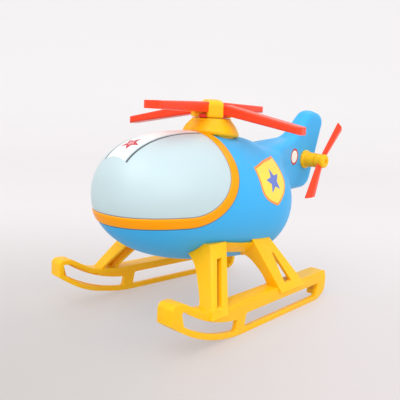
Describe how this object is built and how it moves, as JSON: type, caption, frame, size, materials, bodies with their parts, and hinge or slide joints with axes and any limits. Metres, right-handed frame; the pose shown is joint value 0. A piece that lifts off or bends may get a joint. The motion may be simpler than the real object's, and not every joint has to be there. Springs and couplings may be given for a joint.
{
  "type": "toy helicopter",
  "caption": "Egg-bodied toy helicopter with a domed canopy, drooping main rotor, side tail rotor and slotted skids; both rotors spin freely.",
  "frame": {"origin": "on the ground plane, under the middle of the bounding box", "axes": "nose towards -Y, port side towards +X, rotor mast along +Z"},
  "size_m": [0.1188, 0.1988, 0.1276],
  "materials": {
    "body_blue": "satin moulded",
    "canopy_pale": "gloss, pale tint",
    "trim_orange": "gloss",
    "frame_yellow": "semi-gloss",
    "blade_red": "semi-gloss",
    "bush_plastic": "natural moulded",
    "screw_steel": "zinc plated"
  },
  "bodies": {
    "airframe": {"fuselage_port": "body_blue", "fuselage_starboard": "body_blue", "canopy": "canopy_pale", "canopy_trim": "trim_orange", "rotor_dome": "frame_yellow", "port_skid_frame": "frame_yellow", "starboard_skid_frame": "frame_yellow", "mast_bush": "bush_plastic", "tail_boss": "frame_yellow", "tail_bush": "bush_plastic", "dome_screws": "screw_steel", "fuselage_screws": "screw_steel", "skid_screws": "screw_steel"},
    "main_rotor": {"hub_cap": "frame_yellow", "blade_bar_upper": "blade_red", "blade_bar_lower": "blade_red", "mast_shaft": "screw_steel", "mast_washer": "bush_plastic", "mast_screw": "screw_steel"},
    "tail_rotor": {"tail_blades": "blade_red", "tail_hub_cap": "frame_yellow", "tail_collar": "frame_yellow", "tail_shaft": "screw_steel", "tail_push_nut": "screw_steel"}
  },
  "joints": [
    {"name": "main_rotor_spin", "type": "hinge", "parent": "airframe", "child": "main_rotor", "pos_m": [0, -0.01998, 0.116], "axis": [0, 0, 1], "continuous": true},
    {"name": "tail_rotor_spin", "type": "hinge", "parent": "airframe", "child": "tail_rotor", "pos_m": [0.017, 0.07501, 0.0886], "axis": [1, 0, 0], "continuous": true}
  ]
}
